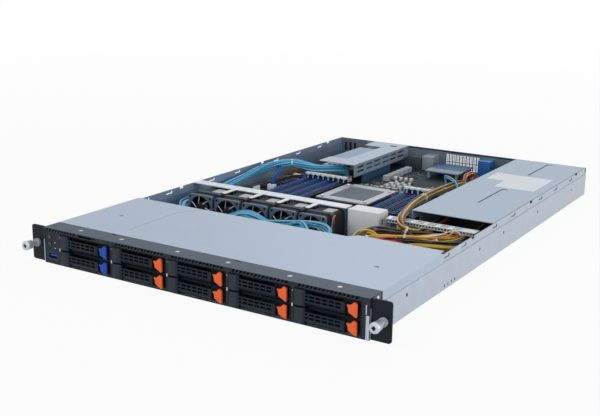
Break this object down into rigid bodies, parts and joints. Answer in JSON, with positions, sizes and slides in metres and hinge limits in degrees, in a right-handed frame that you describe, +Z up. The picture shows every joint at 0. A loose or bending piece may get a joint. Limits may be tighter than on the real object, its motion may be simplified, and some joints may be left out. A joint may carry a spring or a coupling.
{
  "type": "rack server",
  "caption": "Flat rack-mount server with its main lid off: front drive trays with hinged levers, a row of fans, a board and slide-in power supplies.",
  "frame": {"origin": "on the pan's bottom face, midway between the side walls, in the plane of the rack ears' rear faces", "axes": "+X to the right seen from the front, +Y from the front to the rear, +Z up"},
  "size_m": [0.4826, 0.7499, 0.0438],
  "materials": {
    "pan_steel": "satin zinc-coated sheet",
    "cover_steel": "satin blue-grey sheet",
    "galvanised": "zinc-coated, faintly mottled",
    "bright_steel": "bright stamped steel",
    "psu_steel": "satin zinc-coated sheet",
    "bezel": "matt charcoal powder coat",
    "bezel_plastic": "matt charcoal",
    "carrier_steel": "matt dark grey",
    "lever_plastic": "matt charcoal",
    "latch_orange": "satin orange",
    "latch_blue": "satin blue",
    "screw_steel": "bright nickel",
    "fan_frame": "matt black",
    "rotor_plastic": "matt black",
    "white_plastic": "satin white",
    "circuit_board": "green solder mask",
    "connector": "matt black",
    "release_plastic": "satin orange",
    "button_plastic": "satin grey",
    "cable_jacket": "satin teal"
  },
  "bodies": {
    "chassis": {"base_pan": "pan_steel", "rear_panel": "pan_steel", "drive_cage": "bezel", "rack_ears": "bezel", "front_cover": "cover_steel", "psu_cover": "cover_steel", "daughter_boards": "circuit_board", "fan_housings": "fan_frame", "cross_brackets": "galvanised", "air_baffle": "white_plastic", "mainboard": "circuit_board", "board_connectors": "connector", "riser_cage": "galvanised", "control_panel": "bezel_plastic", "cables": "cable_jacket"},
    "drive_carrier_1": {"drive_carrier_1": "carrier_steel"},
    "carrier_lever_1": {"carrier_lever_1": "lever_plastic"},
    "carrier_latch_1": {"carrier_latch_1": "latch_blue"},
    "drive_carrier_2": {"drive_carrier_2": "carrier_steel"},
    "carrier_lever_2": {"carrier_lever_2": "lever_plastic"},
    "carrier_latch_2": {"carrier_latch_2": "latch_blue"},
    "drive_carrier_3": {"drive_carrier_3": "carrier_steel"},
    "carrier_lever_3": {"carrier_lever_3": "lever_plastic"},
    "carrier_latch_3": {"carrier_latch_3": "latch_orange"},
    "drive_carrier_4": {"drive_carrier_4": "carrier_steel"},
    "carrier_lever_4": {"carrier_lever_4": "lever_plastic"},
    "carrier_latch_4": {"carrier_latch_4": "latch_orange"},
    "drive_carrier_5": {"drive_carrier_5": "carrier_steel"},
    "carrier_lever_5": {"carrier_lever_5": "lever_plastic"},
    "carrier_latch_5": {"carrier_latch_5": "latch_orange"},
    "drive_carrier_6": {"drive_carrier_6": "carrier_steel"},
    "carrier_lever_6": {"carrier_lever_6": "lever_plastic"},
    "carrier_latch_6": {"carrier_latch_6": "latch_orange"},
    "drive_carrier_7": {"drive_carrier_7": "carrier_steel"},
    "carrier_lever_7": {"carrier_lever_7": "lever_plastic"},
    "carrier_latch_7": {"carrier_latch_7": "latch_orange"},
    "drive_carrier_8": {"drive_carrier_8": "carrier_steel"},
    "carrier_lever_8": {"carrier_lever_8": "lever_plastic"},
    "carrier_latch_8": {"carrier_latch_8": "latch_orange"},
    "drive_carrier_9": {"drive_carrier_9": "carrier_steel"},
    "carrier_lever_9": {"carrier_lever_9": "lever_plastic"},
    "carrier_latch_9": {"carrier_latch_9": "latch_orange"},
    "drive_carrier_10": {"drive_carrier_10": "carrier_steel"},
    "carrier_lever_10": {"carrier_lever_10": "lever_plastic"},
    "carrier_latch_10": {"carrier_latch_10": "latch_orange"},
    "fan_rotor_1": {"fan_rotor_1": "rotor_plastic"},
    "fan_rotor_2": {"fan_rotor_2": "rotor_plastic"},
    "fan_rotor_3": {"fan_rotor_3": "rotor_plastic"},
    "fan_rotor_4": {"fan_rotor_4": "rotor_plastic"},
    "fan_rotor_5": {"fan_rotor_5": "rotor_plastic"},
    "psu_left": {"psu_left": "psu_steel"},
    "psu_latch_left": {"psu_latch_left": "release_plastic"},
    "thumbscrew_left": {"thumbscrew_left": "screw_steel"},
    "psu_right": {"psu_right": "psu_steel"},
    "psu_latch_right": {"psu_latch_right": "release_plastic"},
    "thumbscrew_right": {"thumbscrew_right": "screw_steel"},
    "power_button": {"power_button": "button_plastic"},
    "id_button": {"id_button": "button_plastic"},
    "cpu_load_frame": {"cpu_load_frame": "bright_steel"},
    "dimm_latches": {"dimm_latches": "white_plastic"}
  },
  "joints": [
    {"name": "fan_1_spin", "type": "hinge", "parent": "chassis", "child": "fan_rotor_1", "pos_m": [-0.167, 0.245, 0.0212], "axis": [0, 1, 0], "continuous": true},
    {"name": "fan_2_spin", "type": "hinge", "parent": "chassis", "child": "fan_rotor_2", "pos_m": [-0.1226, 0.245, 0.0212], "axis": [0, 1, 0], "continuous": true},
    {"name": "fan_3_spin", "type": "hinge", "parent": "chassis", "child": "fan_rotor_3", "pos_m": [-0.0782, 0.245, 0.0212], "axis": [0, 1, 0], "continuous": true},
    {"name": "fan_4_spin", "type": "hinge", "parent": "chassis", "child": "fan_rotor_4", "pos_m": [-0.0338, 0.245, 0.0212], "axis": [0, 1, 0], "continuous": true},
    {"name": "fan_5_spin", "type": "hinge", "parent": "chassis", "child": "fan_rotor_5", "pos_m": [0.0106, 0.245, 0.0212], "axis": [0, 1, 0], "continuous": true},
    {"name": "psu_left_slide", "type": "slide", "parent": "chassis", "child": "psu_left", "axis": [0, 1, 0], "range_m": [0, 0.23]},
    {"name": "psu_latch_left_slide", "type": "slide", "parent": "psu_left", "child": "psu_latch_left", "axis": [-1, 0, 0], "range_m": [0, 0.0025], "stiffness_N_per_m": 1000},
    {"name": "thumbscrew_left_push", "type": "slide", "parent": "chassis", "child": "thumbscrew_left", "axis": [0, 1, 0], "range_m": [0, 0.0065], "stiffness_N_per_m": 600},
    {"name": "psu_right_slide", "type": "slide", "parent": "chassis", "child": "psu_right", "axis": [0, 1, 0], "range_m": [0, 0.23]},
    {"name": "psu_latch_right_slide", "type": "slide", "parent": "psu_right", "child": "psu_latch_right", "axis": [-1, 0, 0], "range_m": [0, 0.0025], "stiffness_N_per_m": 1000},
    {"name": "thumbscrew_right_push", "type": "slide", "parent": "chassis", "child": "thumbscrew_right", "axis": [0, 1, 0], "range_m": [0, 0.0065], "stiffness_N_per_m": 600},
    {"name": "power_button_press", "type": "slide", "parent": "chassis", "child": "power_button", "axis": [0, 1, 0], "range_m": [0, 0.0006], "stiffness_N_per_m": 1500},
    {"name": "id_button_press", "type": "slide", "parent": "chassis", "child": "id_button", "axis": [0, 1, 0], "range_m": [0, 0.0006], "stiffness_N_per_m": 1500},
    {"name": "cpu_frame_hinge", "type": "hinge", "parent": "chassis", "child": "cpu_load_frame", "pos_m": [-0.042, 0.49, 0.0165], "axis": [-1, 0, 0], "range_deg": [0, 95]},
    {"name": "dimm_latches_hinge", "type": "hinge", "parent": "chassis", "child": "dimm_latches", "pos_m": [-0.039, 0.4954, 0.0124], "axis": [-1, 0, 0], "range_deg": [0, 30]},
    {"name": "carrier_1_slide", "type": "slide", "parent": "chassis", "child": "drive_carrier_1", "axis": [0, -1, 0], "range_m": [0, 0.115]},
    {"name": "lever_1_hinge", "type": "hinge", "parent": "drive_carrier_1", "child": "carrier_lever_1", "pos_m": [-0.1878, -0.005, 0.0103], "axis": [0, 0, -1], "range_deg": [0, 65]},
    {"name": "latch_1_slide", "type": "slide", "parent": "drive_carrier_1", "child": "carrier_latch_1", "axis": [1, 0, 0], "range_m": [0, 0.002], "stiffness_N_per_m": 800},
    {"name": "carrier_2_slide", "type": "slide", "parent": "chassis", "child": "drive_carrier_2", "axis": [0, -1, 0], "range_m": [0, 0.115]},
    {"name": "lever_2_hinge", "type": "hinge", "parent": "drive_carrier_2", "child": "carrier_lever_2", "pos_m": [-0.1878, -0.005, 0.0293], "axis": [0, 0, -1], "range_deg": [0, 65]},
    {"name": "latch_2_slide", "type": "slide", "parent": "drive_carrier_2", "child": "carrier_latch_2", "axis": [1, 0, 0], "range_m": [0, 0.002], "stiffness_N_per_m": 800},
    {"name": "carrier_3_slide", "type": "slide", "parent": "chassis", "child": "drive_carrier_3", "axis": [0, -1, 0], "range_m": [0, 0.115]},
    {"name": "lever_3_hinge", "type": "hinge", "parent": "drive_carrier_3", "child": "carrier_lever_3", "pos_m": [-0.1068, -0.005, 0.0103], "axis": [0, 0, -1], "range_deg": [0, 65]},
    {"name": "latch_3_slide", "type": "slide", "parent": "drive_carrier_3", "child": "carrier_latch_3", "axis": [1, 0, 0], "range_m": [0, 0.002], "stiffness_N_per_m": 800},
    {"name": "carrier_4_slide", "type": "slide", "parent": "chassis", "child": "drive_carrier_4", "axis": [0, -1, 0], "range_m": [0, 0.115]},
    {"name": "lever_4_hinge", "type": "hinge", "parent": "drive_carrier_4", "child": "carrier_lever_4", "pos_m": [-0.1068, -0.005, 0.0293], "axis": [0, 0, -1], "range_deg": [0, 65]},
    {"name": "latch_4_slide", "type": "slide", "parent": "drive_carrier_4", "child": "carrier_latch_4", "axis": [1, 0, 0], "range_m": [0, 0.002], "stiffness_N_per_m": 800},
    {"name": "carrier_5_slide", "type": "slide", "parent": "chassis", "child": "drive_carrier_5", "axis": [0, -1, 0], "range_m": [0, 0.115]},
    {"name": "lever_5_hinge", "type": "hinge", "parent": "drive_carrier_5", "child": "carrier_lever_5", "pos_m": [-0.0258, -0.005, 0.0103], "axis": [0, 0, -1], "range_deg": [0, 65]},
    {"name": "latch_5_slide", "type": "slide", "parent": "drive_carrier_5", "child": "carrier_latch_5", "axis": [1, 0, 0], "range_m": [0, 0.002], "stiffness_N_per_m": 800},
    {"name": "carrier_6_slide", "type": "slide", "parent": "chassis", "child": "drive_carrier_6", "axis": [0, -1, 0], "range_m": [0, 0.115]},
    {"name": "lever_6_hinge", "type": "hinge", "parent": "drive_carrier_6", "child": "carrier_lever_6", "pos_m": [-0.0258, -0.005, 0.0293], "axis": [0, 0, -1], "range_deg": [0, 65]},
    {"name": "latch_6_slide", "type": "slide", "parent": "drive_carrier_6", "child": "carrier_latch_6", "axis": [1, 0, 0], "range_m": [0, 0.002], "stiffness_N_per_m": 800},
    {"name": "carrier_7_slide", "type": "slide", "parent": "chassis", "child": "drive_carrier_7", "axis": [0, -1, 0], "range_m": [0, 0.115]},
    {"name": "lever_7_hinge", "type": "hinge", "parent": "drive_carrier_7", "child": "carrier_lever_7", "pos_m": [0.0552, -0.005, 0.0103], "axis": [0, 0, -1], "range_deg": [0, 65]},
    {"name": "latch_7_slide", "type": "slide", "parent": "drive_carrier_7", "child": "carrier_latch_7", "axis": [1, 0, 0], "range_m": [0, 0.002], "stiffness_N_per_m": 800},
    {"name": "carrier_8_slide", "type": "slide", "parent": "chassis", "child": "drive_carrier_8", "axis": [0, -1, 0], "range_m": [0, 0.115]},
    {"name": "lever_8_hinge", "type": "hinge", "parent": "drive_carrier_8", "child": "carrier_lever_8", "pos_m": [0.0552, -0.005, 0.0293], "axis": [0, 0, -1], "range_deg": [0, 65]},
    {"name": "latch_8_slide", "type": "slide", "parent": "drive_carrier_8", "child": "carrier_latch_8", "axis": [1, 0, 0], "range_m": [0, 0.002], "stiffness_N_per_m": 800},
    {"name": "carrier_9_slide", "type": "slide", "parent": "chassis", "child": "drive_carrier_9", "axis": [0, -1, 0], "range_m": [0, 0.115]},
    {"name": "lever_9_hinge", "type": "hinge", "parent": "drive_carrier_9", "child": "carrier_lever_9", "pos_m": [0.1362, -0.005, 0.0103], "axis": [0, 0, -1], "range_deg": [0, 65]},
    {"name": "latch_9_slide", "type": "slide", "parent": "drive_carrier_9", "child": "carrier_latch_9", "axis": [1, 0, 0], "range_m": [0, 0.002], "stiffness_N_per_m": 800},
    {"name": "carrier_10_slide", "type": "slide", "parent": "chassis", "child": "drive_carrier_10", "axis": [0, -1, 0], "range_m": [0, 0.115]},
    {"name": "lever_10_hinge", "type": "hinge", "parent": "drive_carrier_10", "child": "carrier_lever_10", "pos_m": [0.1362, -0.005, 0.0293], "axis": [0, 0, -1], "range_deg": [0, 65]},
    {"name": "latch_10_slide", "type": "slide", "parent": "drive_carrier_10", "child": "carrier_latch_10", "axis": [1, 0, 0], "range_m": [0, 0.002], "stiffness_N_per_m": 800}
  ]
}
